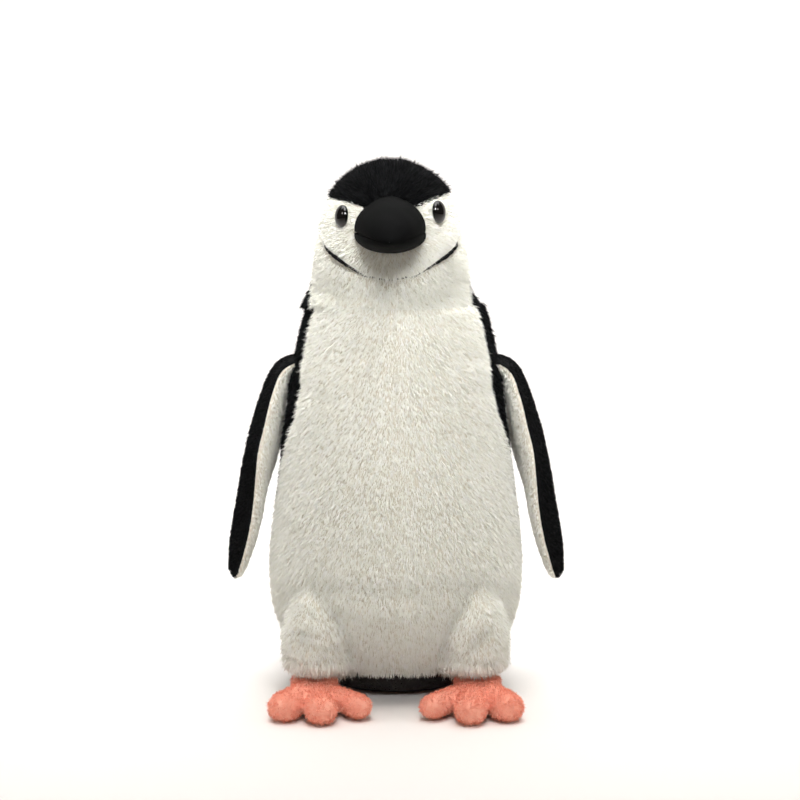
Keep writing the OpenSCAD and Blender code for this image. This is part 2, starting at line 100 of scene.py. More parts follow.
def clothMaterial(name, look):  # two close tones in small spots and wide clouds, over a fine raised grain
    made, tree = newMaterial(name)
    place = addNode(tree, "ShaderNodeTexCoord")
    spots = addNode(tree, "ShaderNodeTexNoise", {"Scale": 1 / (look["spot"] * mm), "Detail": 3.0},
                    {"Vector": (place, "Object")})
    clouds = addNode(tree, "ShaderNodeTexNoise", {"Scale": 1 / (look["cloud"] * mm), "Detail": 2.0},
                     {"Vector": (place, "Object")})
    blend = addNode(tree, "ShaderNodeMath", {"operation": "MULTIPLY_ADD", 1: 0.55},
                    {0: (spots, 0), 2: (clouds, 0)})
    tones = addNode(tree, "ShaderNodeValToRGB", {}, {0: (blend, 0)})
    tones.color_ramp.elements[0].position, tones.color_ramp.elements[1].position = 0.55, 1.0
    tones.color_ramp.elements[0].color = srgb(look["dark"])
    tones.color_ramp.elements[1].color = srgb(look["light"])
    grain = addNode(tree, "ShaderNodeTexNoise", {"Scale": 1 / (look["grain"] * mm), "Detail": 4.0},
                    {"Vector": (place, "Object")})
    bump = addNode(tree, "ShaderNodeBump", {"Strength": look["bump"], "Distance": look["grain"] * 0.5 * mm},
                   {"Height": (grain, 0)})
    shader = addNode(tree, "ShaderNodeBsdfPrincipled",
                     {"Roughness": look["roughness"], "Sheen Weight": look["sheen"], "Sheen Roughness": 0.5,
                      "Sheen Tint": srgb(look["light"]), "Specular IOR Level": look.get("specular", 0.2)},
                     {"Base Color": (tones, 0), "Normal": (bump, 0)})
    addNode(tree, "ShaderNodeOutputMaterial", {}, {"Surface": (shader, 0)})
    return made


def fibreMaterial(name, code, sheen, roughness=0.75):  # loose pile fibres, one plain tint each
    made, tree = newMaterial(name)
    shader = addNode(tree, "ShaderNodeBsdfPrincipled",
                     {"Base Color": srgb(code), "Roughness": roughness, "Sheen Weight": sheen,
                      "Sheen Tint": srgb(code), "Specular IOR Level": 0.12})
    addNode(tree, "ShaderNodeOutputMaterial", {}, {"Surface": (shader, 0)})
    return made


# Knitted polyester backings: matt, and darker than the pile that stands on them. The ivory backing's darker
# tone is painted shade, for the shade in the seam grooves and between the fibres
ivoryShadedBacking = clothMaterial("ivoryPlushBacking", {
    "light": "#e9e4d7", "dark": "#dcd5c6", "spot": 1.2, "cloud": 22, "grain": 0.7,
    "bump": 0.5, "roughness": 0.95, "sheen": 0.3})
blackBacking = clothMaterial("blackPlushBacking", {
    "light": "#131416", "dark": "#070808", "spot": 1.2, "cloud": 22, "grain": 0.7,
    "bump": 0.5, "roughness": 0.95, "sheen": 0.1})
baseBackingPaintedBounce = clothMaterial("charcoalPlushBacking", {  # black short plush, greyer than the back: the grey is painted light, from the floor's bounce
    "light": "#363433", "dark": "#232221", "spot": 1.2, "cloud": 14, "grain": 0.7,
    "bump": 0.5, "roughness": 0.95, "sheen": 0.15})
coralFleece = clothMaterial("coralFleece", {  # sheared fleece, soft and even, with a pilled grain
    "light": "#ffbfa8", "dark": "#fbab93", "spot": 1.4, "cloud": 14, "grain": 0.9,
    "bump": 0.6, "roughness": 0.95, "sheen": 0.4})
beakVelour = clothMaterial("beakVelour", {  # close black velour, greying where light grazes it
    "light": "#070808", "dark": "#030404", "spot": 0.7, "cloud": 16, "grain": 0.45,
    "bump": 0.35, "roughness": 0.85, "sheen": 0.015, "specular": 0.07})
strapThread = clothMaterial("blackRayonThread", {  # satin stitched embroidery thread, a little bright
    "light": "#0d0d0e", "dark": "#060607", "spot": 0.5, "cloud": 8, "grain": 0.35,
    "bump": 0.9, "roughness": 0.7, "sheen": 0.02, "specular": 0.1})
polyesterFilling = clothMaterial("polyesterFilling", {  # crimped white fibre, like loose wool
    "light": "#fbfbfa", "dark": "#e4e4e2", "spot": 2.5, "cloud": 18, "grain": 1.5,
    "bump": 1.0, "roughness": 1.0, "sheen": 0.4})
bagNylon = clothMaterial("wovenNylonCloth", {  # thin plain weave
    "light": "#cfd2d6", "dark": "#b4b8be", "spot": 0.8, "cloud": 12, "grain": 0.5,
    "bump": 0.4, "roughness": 0.7, "sheen": 0.1})
labelSatin = clothMaterial("whiteSatinTape", {  # smooth woven tape with soft shine
    "light": "#f7f7f5", "dark": "#ecece8", "spot": 0.6, "cloud": 9, "grain": 0.4,
    "bump": 0.2, "roughness": 0.45, "sheen": 0.1})
pelletPlastic = clothMaterial("polyethylenePellets", {  # milky moulded grains, 3 mm across
    "light": "#ecebe4", "dark": "#bdbcb2", "spot": 3.0, "cloud": 15, "grain": 3.0,
    "bump": 1.0, "roughness": 0.5, "sheen": 0.0})
washerPlastic = clothMaterial("whitePolypropylene", {  # moulded and unpainted
    "light": "#f1f1ee", "dark": "#e2e2de", "spot": 1.5, "cloud": 8, "grain": 0.6,
    "bump": 0.1, "roughness": 0.5, "sheen": 0.0})

# Polyester pile: fine matt fibres in four close tints, which keeps the fur from looking printed
ivoryFibres = [fibreMaterial(f"ivoryPolyesterFibre{k}", code, 0.25) for k, code in
               enumerate(("#fbfbf4", "#f9f9f1", "#f5f5ec", "#fdfdf9"))]
blackFibres = [fibreMaterial(f"blackPolyesterFibre{k}", code, 0.03, 0.7) for k, code in
               enumerate(("#08090a", "#0b0c0e", "#060708", "#0f1113"))]
# the base's black fibres are painted grey, as painted light from the floor's bounce
charcoalFibresPaintedBounce = [fibreMaterial(f"charcoalPolyesterFibre{k}", code, 0.1) for k, code in
                  enumerate(("#3c3a39", "#302e2d", "#484543", "#272625"))]
coralFibres = [fibreMaterial(f"coralPolyesterFibre{k}", code, 0.3) for k, code in
               enumerate(("#ffbba4", "#fdb39b", "#ffc5b0", "#faab92"))]

eyeGloss = {"colour": "#030303", "ior": 1.55, "roughness": 0.05}
blackEye, eyeTree = newMaterial("blackAcrylicEye")  # polished acrylic: deep black with sharp highlights
gloss = addNode(eyeTree, "ShaderNodeBsdfPrincipled",
                {"Base Color": srgb(eyeGloss["colour"]), "IOR": eyeGloss["ior"],
                 "Roughness": eyeGloss["roughness"]})
addNode(eyeTree, "ShaderNodeOutputMaterial", {}, {"Surface": (gloss, 0)})
print("materials made:", len(bpy.data.materials))


# The toy's measures come from the CAD frame, in millimetres here
bellyBox, backBox, crownBox = (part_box(n) for n in ("left_belly_panel", "left_back_panel", "crown_panel"))
neckZ, topZ = bellyBox[1].z / mm, crownBox[1].z / mm
baseSeamZ = bellyBox[0].z / mm
torsoReach = (bellyBox[1].x / mm, -bellyBox[0].y / mm, backBox[1].y / mm)
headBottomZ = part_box("throat_panel")[0].z / mm
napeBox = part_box("nape_panel")
headMiddle = (napeBox[0].x + napeBox[1].x) / 2 / mm  # the head sits a little off the toy's middle
headReach = ((napeBox[1].x - napeBox[0].x) / 2 / mm, 46.0, napeBox[1].y / mm)
ankle = Vector((45.0, -45.0))

# Shares of the height, half width, front and back reach, from the bottom up
torsoRows = [
    [0, 0.42, 0.31, 0.53], [0.014, 0.56, 0.45, 0.69], [0.046, 0.695, 0.59, 0.82],
    [0.091, 0.812, 0.72, 0.91], [0.151, 0.903, 0.845, 0.97], [0.228, 0.972, 0.953, 1],
    [0.329, 1, 1, 1], [0.434, 0.976, 0.977, 0.99], [0.548, 0.93, 0.922, 0.973],
    [0.685, 0.879, 0.852, 0.945], [0.822, 0.823, 0.781, 0.9], [0.913, 0.764, 0.727, 0.864],
    [0.968, 0.722, 0.688, 0.836], [1, 0.69, 0.664, 0.818]]
headRows = [
    [0, 1, 0.913, 1], [0.106, 0.91, 0.891, 0.978], [0.255, 0.88, 0.935, 0.967],
    [0.379, 0.844, 0.989, 0.956], [0.503, 0.812, 1.01, 0.944], [0.627, 0.764, 0.978, 0.922],
    [0.739, 0.707, 0.87, 0.856], [0.839, 0.606, 0.707, 0.733], [0.925, 0.434, 0.489, 0.522],
    [0.981, 0.222, 0.25, 0.267], [1, 0.012, 0.013, 0.013]]
# Seams: height or angle from the front, against the angle or height of the seam there
sideSeam = [(0, 25), (60, 20), (100, 10), (130, 2), (147, -10), (157, -19), (172, -24),
            (206, -22), (219, -24)]
napeSeam = [(219, -24), (227, -8), (238, 11), (255, 18), (300, 18)]
crownSeam = [(0, 272), (20, 275), (42, 279), (70, 280.5), (110, 281.5), (180, 281.5)]
strapLine = [(0, 235), (20, 237.5), (39, 246), (58, 252), (75, 257.5), (97, 263), (108, 266)]


def along(rows, s):  # a smooth curve through the rows, at a position counted in rows
    i = min(max(int(s), 0), len(rows) - 2)
    t, b, c = s - i, rows[i], rows[i + 1]
    a = rows[i - 1] if i else [2 * p - q for p, q in zip(b, c)]
    d = rows[i + 2] if i < len(rows) - 2 else [2 * q - p for p, q in zip(b, c)]
    return [q + 0.5 * t * (r - p + t * (2 * p - 5 * q + 4 * r - w + t * (3 * (q - r) + w - p)))
            for p, q, r, w in zip(a, b, c, d)]


def fineRows(rows, low, height, reach):  # closely spaced sections: height, half width, front, back
    made = [along(rows, k / 40) for k in range(40 * (len(rows) - 1) + 1)]
    return [[low + r[0] * height] + [share * size for share, size in zip(r[1:], reach)] for r in made]


torsoSections = fineRows(torsoRows, 0, neckZ, torsoReach)
headSections = fineRows(headRows, headBottomZ, topZ - headBottomZ, headReach)


def sectionAt(sections, z):
    i = min(max(bisect.bisect_left(sections, [z]) - 1, 0), len(sections) - 2)
    low, high = sections[i], sections[i + 1]
    t = min(max((z - low[0]) / (high[0] - low[0]), 0), 1)
    return [p + (q - p) * t for p, q in zip(low[1:], high[1:])]


def lookUp(pairs, x):
    i = min(max(bisect.bisect_left(pairs, (x,)) - 1, 0), len(pairs) - 2)
    (x0, y0), (x1, y1) = pairs[i], pairs[i + 1]
    return y0 + (y1 - y0) * min(max((x - x0) / (x1 - x0), 0), 1)


def mix(a, b, t):
    return a + (b - a) * t


def step(low, high, x):
    t = min(max((x - low) / (high - low), 0), 1)
    return t * t * (3 - 2 * t)


def bell(x, width):
    return math.exp(-(x / width) ** 2)


def fromFront(a):  # degrees round from the front centre line
    t = abs(a + 90) % 360
    return 360 - t if t > 180 else t


def lump(p, size, seed):  # soft unevenness of a stuffed skin, from -1 to 1
    return noise.noise(Vector((p.x, p.y, p.z + 37 * seed)) / size)


legShape = {"place": (44.0, -42.0), "low": 14, "high": 74, "fullness": 0.95, "fade": 2, "soft": 5.0,
            "radii": [(17, 3), (20.5, 8), (22.5, 13.5), (26, 17), (32, 18.2), (40, 18), (50, 16),
                      (58, 12.5), (66, 6), (72, 0)]}
creases = [  # on the belly: two ends as X and Z, width and depth
    {"ends": ((-30, 67), (42, 69)), "width": 5, "depth": 1.1},
    {"ends": ((-66, 60), (-52, 47)), "width": 3, "depth": 1.6},
    {"ends": ((27, 30), (40, 44)), "width": 3, "depth": 1.8},
    {"ends": ((-27, 30), (-38, 46)), "width": 3, "depth": 1.4},
    {"ends": ((-52, 186), (-8, 182)), "width": 5, "depth": 0.9},
    {"ends": ((50, 176), (30, 168)), "width": 4, "depth": 0.9}]
skinDepth = 1.7  # how far the backing lies under the combed pile
# Lumps of the stuffing as height and size, wide and fine, and how far the seams pull the skin in
torsoSwell = {"wide": (0.8, 34), "fine": (0.3, 13), "seamDip": 1.0, "seamWidth": 2.6, "deepest": -1.35}
headSwell = {"wide": (0.7, 26), "fine": (0.3, 10), "seamDip": 0.8, "seamWidth": 2.2, "deepest": -1.4,
             "eyeDip": 1.6, "eyeWidth": 8}


def creaseDip(p):
    dip = 0.0
    for c in creases:
        a, b = Vector(c["ends"][0]), Vector(c["ends"][1])
        q = Vector((p.x, p.z))
        t = min(max((q - a).dot(b - a) / (b - a).length_squared, 0), 1)
        d = (q - a - (b - a) * t).length
        dip += c["depth"] * (bell(d, c["width"]) - 0.4 * bell(d - 2.1 * c["width"], c["width"]))
    return dip


def stuffed(swell, p, seed, seamGap):  # lumps of stuffing, less the dip along a seam
    wide, fine = swell["wide"], swell["fine"]
    raised = wide[0] * lump(p, wide[1], seed) + fine[0] * lump(p, fine[1], seed + 1)
    return raised - swell["seamDip"] * bell(seamGap, swell["seamWidth"])


def torsoPoint(z, a, seamGap, depth=skinDepth):  # on the torso's skin, at a height and an angle
    side, fore, aft = (r - depth for r in sectionAt(torsoSections, z))
    p = Vector((side * math.cos(math.radians(a)), (fore if math.sin(math.radians(a)) < 0 else aft)
                * math.sin(math.radians(a)), z))
    reach = p.xy.length
    way = p.xy / reach
    if p.y < 0 and legShape["low"] < z < legShape["high"]:  # the leg swells out of the belly
        centre = Vector((math.copysign(legShape["place"][0], p.x), legShape["place"][1]))
        radius = lookUp(legShape["radii"], z)
        ahead = way.dot(centre)
        off = (centre - ahead * way).length
        leg = ahead - legShape["fade"] * (off - radius)
        if off < radius:
            leg = ahead + math.sqrt(radius ** 2 - off ** 2) * legShape["fullness"]
        soft = legShape["soft"]
        share = min(max(0.5 + 0.5 * (leg - reach) / soft, 0), 1)
        reach = mix(reach, leg, share) + soft * share * (1 - share) * 0.5
    swell = stuffed(torsoSwell, p, 1, seamGap)
    if p.y < 0:
        swell -= creaseDip(p)
    swell = max(swell, torsoSwell["deepest"]) * step(0, 10, z)  # the rim at the floor stays even
    return Vector((way.x * (reach + swell), way.y * (reach + swell), z))


eyeSpots = [Vector((s * 29.6, -34.5, 270.3)) for s in (-1, 1)]  # measured from the head's own middle
headCentre = Vector((0, 0, 250))


def headPoint(z, a, seamGap, depth=skinDepth):  # on the head's skin, at a height and an angle
    side, fore, aft = (max(r - depth, 0.05) if z < topZ - 3 else r * 0.9
                       for r in sectionAt(headSections, z))
    c, s = math.cos(math.radians(a)), math.sin(math.radians(a))
    p = Vector((side * c, (fore if s < 0 else aft) * s, z - depth * step(0.75 * topZ, topZ, z)))
    swell = stuffed(headSwell, p, 3, seamGap)
    for spot in eyeSpots:
        swell -= headSwell["eyeDip"] * bell((p - spot).length, headSwell["eyeWidth"])
    swell = max(swell, headSwell["deepest"])
    swell += 1.3 * bell(math.hypot(abs(p.x) - 21, z - 268), 6) * (p.y < 0)  # between beak and eye
    swell += 1.2 * bell(math.hypot(abs(p.x) - 27, z - 252), 11) * (p.y < 0)  # cheeks
    swell *= step(headBottomZ, headBottomZ + 6, z) * step(topZ, topZ - 8, z)
    return p + (p - headCentre).normalized() * swell + Vector((headMiddle, 0, 0))


def makeObject(name, bm, cloths):  # uses up the bmesh
    mesh = bpy.data.meshes.new(name)
    bm.to_mesh(mesh)
    bm.free()
    for cloth in cloths:
        mesh.materials.append(cloth)
    made = bpy.data.objects.new(name, mesh)
    scene.collection.objects.link(made)
    return made


def markPile(made, combs, piles):  # which way the pile leans, and how long it is, at each corner
    leans = made.data.attributes.new("comb", "FLOAT_VECTOR", "POINT")
    leans.data.foreach_set("vector", [x for c in combs for x in c])
    made.data.attributes.new("pile", "FLOAT", "POINT").data.foreach_set("value", piles)


def makePatch(name, look, place):  # a grid whose corners are put in place by shares across and up
    bm = bmesh.new()
    bm.loops.layers.uv.new("UVMap")
    bmesh.ops.create_grid(bm, x_segments=look["cols"], y_segments=look["rows"], size=0.5, calc_uvs=True)
    shares = {}
    for v in bm.verts:
        shares[v] = (min(max(v.co.x + 0.5, 0), 1), min(max(v.co.y + 0.5, 0), 1))
        v.co = place(*shares[v]) * mm
    if look.get("closed"):
        bmesh.ops.remove_doubles(bm, verts=bm.verts[:], dist=0.02 * mm)
        bmesh.ops.recalc_face_normals(bm, faces=bm.faces[:])
    bm.normal_update()
    if "towards" in look and sum((f.normal for f in bm.faces), Vector()).dot(look["towards"]) < 0:
        bmesh.ops.reverse_faces(bm, faces=bm.faces[:])
        bm.normal_update()
    combs = [look["comb"](v.co / mm, v.normal) for v in bm.verts] if "comb" in look else []
    piles = [look["pile"](v.co / mm, *shares[v]) for v in bm.verts] if "comb" in look else []
    for f in bm.faces:
        f.smooth = True
    made = makeObject(name, bm, look["cloth"])
    if combs:
        markPile(made, combs, piles)
    return made


def makeTuft(name, look, dice, tint):  # a few flat fibres that taper, bend and lean apart; 1 high
    bm = bmesh.new()
    for k in range(look["fibres"]):
        grown = bmesh.ops.create_grid(bm, x_segments=1, y_segments=2, size=0.5)["verts"]
        turn, lean, tall = dice.uniform(0, 6.283), dice.uniform(0, look["splay"]), dice.uniform(0.7, 1.1)
        bend, wide = dice.uniform(-0.3, 0.5), look["width"] * dice.uniform(0.75, 1.25)
        foot = Vector((dice.uniform(-1, 1), dice.uniform(-1, 1), 0)) * look["spread"]
        spin = Matrix.Rotation(turn, 3, "Z")
        for v in grown:
            t = v.co.y + 0.5
            flat = v.co.x * wide * (1 - t) ** 0.6
            ahead = tall * (lean * t + bend * t * t * 0.5)
            v.co = spin @ Vector((flat, ahead, tall * t * (1 - 0.25 * lean * t)))
            v.co += foot
    bmesh.ops.remove_doubles(bm, verts=bm.verts[:], dist=1e-5)
    mesh = bpy.data.meshes.new(name)
    bm.to_mesh(mesh)
    bm.free()
    mesh.materials.append(tint)
    return bpy.data.objects.new(name, mesh)


def growPile(name, skin, look):  # scatters tufts over a skin, leaning along its comb direction
    dice = random.Random(look["seed"])
    box = bpy.data.collections.new(name)
    tints = look["tints"]
    tufts = [makeTuft(f"{name}Tuft{k}", look, dice, tints[k % len(tints)]) for k in range(8)]
    for tuft in tufts:
        box.objects.link(tuft)
    tree = bpy.data.node_groups.new(name, "GeometryNodeTree")
    tree.interface.new_socket("Geometry", in_out="INPUT", socket_type="NodeSocketGeometry")
    tree.interface.new_socket("Geometry", in_out="OUTPUT", socket_type="NodeSocketGeometry")
    source = addNode(tree, "NodeGroupInput")
    spots = addNode(tree, "GeometryNodeDistributePointsOnFaces",
                    {"Density": look["perSquareMm"] / look["fibres"] / mm ** 2, "Seed": look["seed"]},
                    {"Mesh": (source, 0)})
    comb = addNode(tree, "GeometryNodeInputNamedAttribute", {"data_type": "FLOAT_VECTOR", "Name": "comb"})
    pile = addNode(tree, "GeometryNodeInputNamedAttribute", {"data_type": "FLOAT", "Name": "pile"})
    shake = addNode(tree, "FunctionNodeRandomValue",
                    {"data_type": "FLOAT_VECTOR", 0: [-look["shake"]] * 3, 1: [look["shake"]] * 3,
                     "Seed": 3})
    leant = addNode(tree, "ShaderNodeVectorMath", {"operation": "ADD"},
                    {0: (spots, "Normal"), 1: (comb, 0)})
    shaken = addNode(tree, "ShaderNodeVectorMath", {"operation": "ADD"}, {0: (leant, 0), 1: (shake, 0)})
    aimed = addNode(tree, "FunctionNodeAlignRotationToVector", {"axis": "Z"}, {"Vector": (shaken, 0)})
    around = addNode(tree, "FunctionNodeRandomValue",
                     {"data_type": "FLOAT_VECTOR", 0: [0, 0, 0], 1: [0, 0, 6.283], "Seed": 7})
    twist = addNode(tree, "FunctionNodeEulerToRotation", {}, {0: (around, 0)})
    turned = addNode(tree, "FunctionNodeRotateRotation", {"rotation_space": "LOCAL"},
                     {0: (aimed, 0), 1: (twist, 0)})
    vary = addNode(tree, "FunctionNodeRandomValue",
                   {"data_type": "FLOAT", 2: look["shortest"], 3: 1.15, "Seed": 11})
    size = addNode(tree, "ShaderNodeMath", {"operation": "MULTIPLY"}, {0: (pile, 0), 1: (vary, 1)})
    small = addNode(tree, "ShaderNodeMath", {"operation": "MULTIPLY", 1: mm}, {0: (size, 0)})
    kinds = addNode(tree, "GeometryNodeCollectionInfo",
                    {"Collection": box, "Separate Children": True, "Reset Children": True})
    put = addNode(tree, "GeometryNodeInstanceOnPoints", {"Pick Instance": True},
                  {"Points": (spots, "Points"), "Instance": (kinds, 0), "Rotation": (turned, 0),
                   "Scale": (small, 0)})
    marked = addNode(tree, "GeometryNodeStoreNamedAttribute",
                     {"data_type": "FLOAT_VECTOR", "domain": "INSTANCE", "Name": "rootNormal"},
                     {"Geometry": (put, 0)})
    tree.links.new(spots.outputs["Normal"], marked.inputs["Value"])
    real = addNode(tree, "GeometryNodeRealizeInstances", {}, {0: (marked, 0)})
    # a fibre is shaded mostly as the skin below it, so that the pile reads as one soft surface
    root = addNode(tree, "GeometryNodeInputNamedAttribute",
                   {"data_type": "FLOAT_VECTOR", "Name": "rootNormal"})
    tilt = addNode(tree, "GeometryNodeInputNormal")
    soft = addNode(tree, "ShaderNodeVectorMath", {"operation": "MULTIPLY_ADD", 1: [look["gloss"]] * 3},
                   {0: (tilt, 0), 2: (root, 0)})
    shaded = addNode(tree, "GeometryNodeSetMeshNormal", {"mode": "FREE", "domain": "POINT"},
                     {"Mesh": (real, 0)})
    tree.links.new(soft.outputs[0], shaded.inputs["Custom Normal"])
    addNode(tree, "NodeGroupOutput", {}, {0: (shaded, 0)})
    holder = bpy.data.objects.new(name + "Holder", skin.data)
    scene.collection.objects.link(holder)
    holder.modifiers.new("pile", "NODES").node_group = tree
    graph = bpy.context.evaluated_depsgraph_get()
    mesh = bpy.data.meshes.new_from_object(holder.evaluated_get(graph))
    mesh.name = name
    for old in [a.name for a in mesh.attributes if a.name in ("comb", "pile", "UVMap", "rootNormal")]:
        mesh.attributes.remove(mesh.attributes[old])
    bpy.data.objects.remove(holder)
    for tuft in tufts:
        bpy.data.objects.remove(tuft)
    bpy.data.collections.remove(box)
    bpy.data.node_groups.remove(tree)
    made = bpy.data.objects.new(name, mesh)
    scene.collection.objects.link(made)
    print(f"  {name}: {len(mesh.polygons)} faces")
    return made


neckBlend = ("torso", "head", (0, 0, headBottomZ * mm), (0, 0, (headBottomZ + 18) * mm))


def attach(made, body, nodes=()):  # body is a body's name or a blend
    if isinstance(body, str):
        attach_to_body(made, body)
    else:
        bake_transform(made, *body)
    if nodes:
        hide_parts(*nodes)


def seamDistance(look, u, v):  # mm to the nearest sewn edge, from the panel's rough width and height
    edges = {"l": u * look["wide"], "r": (1 - u) * look["wide"],
             "b": v * look["tall"], "t": (1 - v) * look["tall"]}
    return min([edges[e] for e in look["seams"]] or [99])


def shortAtSeam(look, u, v):
    gap = seamDistance(look, u, v)
    return look["length"] * mix(look["seamLength"], 1, step(0, 5, gap)) * mix(0.5, 1, step(0.3, 1.4, gap))


# Torso panels. Lengths are in mm; width, splay and spread are shares of a fibre's length.
# Real pile has tens of finer fibres to the square mm: these are coarser, so that single ones show
bellyLook = {"cols": 46, "rows": 120, "wide": 92, "tall": 205, "seams": "lrb", "length": 3.9,
             "groove": 0.72, "fringe": 1.5, "cloth": [ivoryShadedBacking]}
bellyPile = {"tints": ivoryFibres, "perSquareMm": 3.0, "fibres": 4, "width": 0.13, "splay": 0.35,
             "spread": 0.3, "shake": 0.18, "shortest": 0.8, "gloss": 0.15, "seed": 11}
backLook = {"cols": 36, "rows": 80, "wide": 90, "tall": 205, "seams": "lrb", "length": 3.9,
            "seamLength": 0.75, "cloth": [blackBacking]}
backPile = {"tints": blackFibres, "perSquareMm": 2.1, "fibres": 4, "width": 0.18, "splay": 0.4,
            "spread": 0.3, "shake": 0.2, "shortest": 0.8, "gloss": 0.15, "seed": 23}


def torsoHeight(v):  # a quarter of the rows lie close together round the legs' undersides
    dense, height = 0.25, 30
    return mix(baseSeamZ, height, v / dense) if v < dense else mix(height, neckZ, (v - dense) / (1 - dense))


def bellyComb(p, normal):  # down, fanning away from the centre seam, and over the ankles
    fan = 0.5 * math.copysign(min(abs(p.x) / 30, 1), p.x) * step(60, 200, p.z)
    way = Vector((fan, -0.15, -1.0)) * 1.15
    return way * (1.6 if p.z < 26 else 1.0)


def bellyPileLength(p, u, v):  # the centre seam is a faint groove, and a fringe hangs over the ankles
    gap = min(v * bellyLook["tall"], bellyLook["wide"] * (1 - u if p.x > 0 else u))
    groove = mix(bellyLook["groove"], 1, step(0, 2.2, abs(p.x)))
    fringe = bellyLook["fringe"] if p.z < 27 and abs(p.x) > 26 else 1.0
    return bellyLook["length"] * mix(0.6, 1, step(0, 4, gap)) * groove * fringe


bellyLook["comb"], bellyLook["pile"] = bellyComb, bellyPileLength
backLook["comb"] = lambda p, normal: Vector((0.12 * math.copysign(1, p.x), 0, -1.25))
backLook["pile"] = lambda p, u, v: shortAtSeam(backLook, u, v)


def seamAngle(z, sign):  # the black reaches further forward on the toy's right
    return lookUp(sideSeam, z) - (9 * bell(z - 120, 34) if sign < 0 else 0)


for side, sign in sideSign.items():
    def bellyPlace(u, v):
        z = torsoHeight(v)
        share = u if sign > 0 else 1 - u
        a = mix(-90, seamAngle(z, sign), share)
        p = torsoPoint(z, a, seamDistance(bellyLook, share, v))
        return Vector((sign * p.x, p.y, p.z))

    def backPlace(u, v):
        z = torsoHeight(v)
        share = u if sign > 0 else 1 - u
        p = torsoPoint(z, mix(seamAngle(z, sign), 90, share), seamDistance(backLook, share, v))
        return Vector((sign * p.x, p.y, p.z))

    bellySkin = makePatch(f"{side}BellySkin", bellyLook, bellyPlace)
    attach(bellySkin, "torso", [f"{side}_belly_panel", f"{side}_leg_cuff"])
    bellyFur = growPile(f"{side}BellyPile", bellySkin, bellyPile | {"seed": bellyPile["seed"] + sign})
    attach(bellyFur, "torso")
    backSkin = makePatch(f"{side}BackSkin", backLook, backPlace)
    attach(backSkin, "torso", [f"{side}_back_panel"])
    backFur = growPile(f"{side}BackPile", backSkin, backPile | {"seed": backPile["seed"] + sign})
    attach(backFur, "torso")

# The flat base, with a rim that curls up to the seam
baseLook = {"cols": 64, "rows": 14, "length": 2.0, "flatLength": 0.3, "flat": 0.45, "depth": 1.5,
            "tall": 60, "closed": True, "cloth": [baseBackingPaintedBounce]}
# the base's pile takes the fibres painted grey as painted bounce light
basePile = backPile | {"tints": charcoalFibresPaintedBounce, "perSquareMm": 1.2, "seed": 31}


def basePlace(u, v):  # v runs from the middle of the flat to the seam
    flat, depth = baseLook["flat"], baseLook["depth"]
    if v < flat:
        edge = torsoPoint(1.2, 360 * u, 99, depth)
        return Vector((edge.x * v / flat, edge.y * v / flat, 0.4))
    rise = ((v - flat) / (1 - flat)) ** 1.5
    return torsoPoint(mix(0.4, baseSeamZ, rise), 360 * u, baseLook["tall"] * (1 - v), depth)


baseLook["comb"] = lambda p, normal: Vector((p.x, p.y, 0)).normalized() * 2.2
baseLook["pile"] = lambda p, u, v: baseLook["length"] if p.z > 2.5 else baseLook["flatLength"]
baseSkin = makePatch("baseSkin", baseLook, basePlace)
attach(baseSkin, "torso", ["base_panel"])
attach(growPile("basePile", baseSkin, basePile), "torso")
print("torso made")

# Head panels
faceLook = {"cols": 34, "rows": 26, "wide": 75, "tall": 40, "seams": "tb", "length": 3.4,
            "seamLength": 0.8, "hang": 5.4, "cloth": [ivoryShadedBacking]}
facePile = {"tints": ivoryFibres, "perSquareMm": 4.6, "fibres": 4, "width": 0.12, "splay": 0.4,
            "spread": 0.3, "shake": 0.25, "shortest": 0.75, "gloss": 0.15, "seed": 41}
throatLook = {"cols": 90, "rows": 26, "wide": 160, "tall": 30, "seams": "lrt", "length": 5.6,
              "seamLength": 0.7, "cloth": [ivoryShadedBacking]}
throatPile = facePile | {"perSquareMm": 4.0, "width": 0.09, "shake": 0.42, "splay": 0.6,
                         "spread": 0.18, "seed": 47}
crownLook = {"cols": 90, "rows": 26, "tall": 46, "length": 4.6, "closed": True, "cloth": [blackBacking]}
crownPile = {"tints": blackFibres, "perSquareMm": 4.4, "fibres": 4, "width": 0.1, "splay": 0.5,
             "spread": 0.16, "shake": 0.28, "shortest": 0.7, "gloss": 0.3, "seed": 53}
napeLook = {"cols": 70, "rows": 34, "wide": 130, "tall": 60, "seams": "lr", "length": 4.2,
            "seamLength": 0.85, "overlap": 1.3, "cloth": [blackBacking]}
napePile = backPile | {"perSquareMm": 2.6, "seed": 59}


def crownHeight(a):  # a little higher on the toy's left
    return lookUp(crownSeam, fromFront(a)) + 2.4 * max(math.cos(math.radians(a)), 0)


def strapHeight(a):
    return lookUp(strapLine, fromFront(a))


def faceComb(p, normal):  # away from the beak, and a little down
    away = Vector((p.x - headMiddle, 0.5 * (p.y + 44), p.z - 262))
    away -= normal * away.dot(normal)
    return away.normalized() * 0.9 + Vector((0, 0, -0.45))


def crownComb(p, normal):  # back from the brow in a low swirl
    way = Vector((0.5 * p.x / 30 + 0.25, 1.0, 0.1 * (p.z - 280) / 10))
    way -= normal * way.dot(normal)
    return way.normalized() * 1.1 + Vector((0, 0, -0.35))


def facePileLength(p, u, v):  # short round the eyes, long where it hangs over the strap under the beak
    fromEye = min((p - spot - Vector((headMiddle, 0, 0))).length for spot in eyeSpots)
    hang = bell(p.x - headMiddle, 22) * (1 - step(0, 0.45, v)) * (p.y < 0)
    return mix(shortAtSeam(faceLook, u, v) * mix(0.5, 1, step(5, 10, fromEye)), faceLook["hang"], hang)


faceLook["comb"], faceLook["pile"] = faceComb, facePileLength


